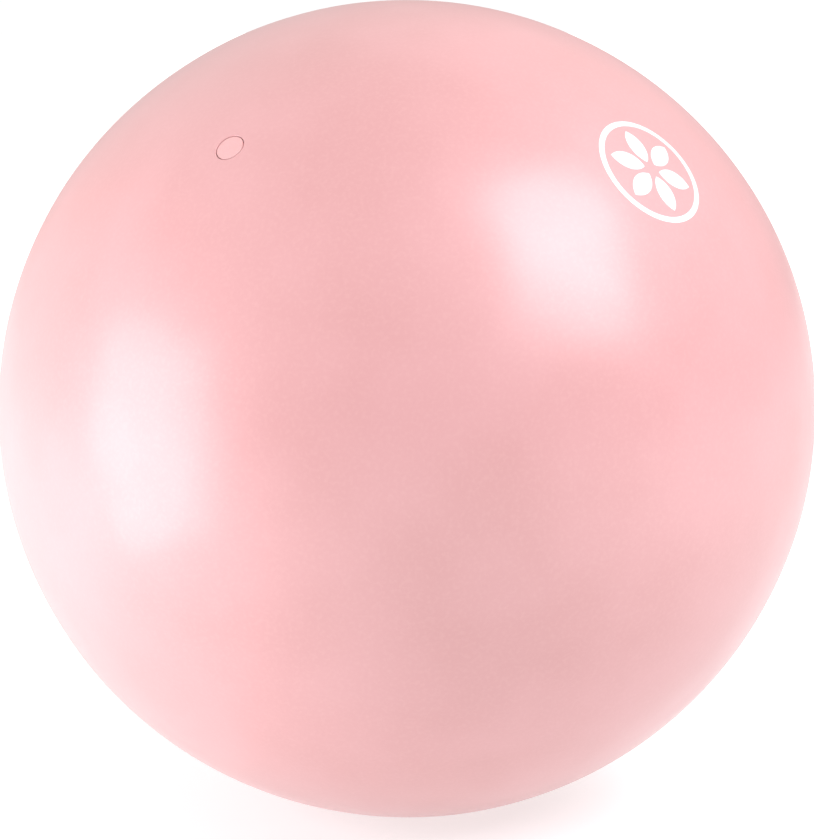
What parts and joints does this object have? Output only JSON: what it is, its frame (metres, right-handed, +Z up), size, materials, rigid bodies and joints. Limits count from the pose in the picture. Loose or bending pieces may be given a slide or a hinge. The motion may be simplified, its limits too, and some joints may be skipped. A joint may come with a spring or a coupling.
{
  "type": "exercise ball",
  "caption": "Soft inflatable exercise ball: a hollow satin skin with a printed rosette, and a flush push-in plug that pulls out of its valve to let air in or out.",
  "frame": {"origin": "centre of the ball", "axes": "+Z up, away from the flat that the ball stands on; -Y is the front, the side that both the valve and the printed rosette face; +X is to the right seen from the front, so the valve is up and to the left and the rosette up and to the right"},
  "size_m": [0.2499, 0.25, 0.2491],
  "materials": {
    "skin_vinyl": "satin",
    "seat_vinyl": "satin",
    "plug_plastic": "satin",
    "mark_ink": "satin"
  },
  "bodies": {
    "ball": {"ball_skin": "skin_vinyl", "valve_seat": "seat_vinyl", "printed_mark": "mark_ink"},
    "plug": {"valve_plug": "plug_plastic"}
  },
  "joints": [
    {"name": "plug_pull", "type": "slide", "parent": "ball", "child": "plug", "axis": [-0.4056, -0.5792, 0.7071], "range_m": [0, 0.02]}
  ]
}
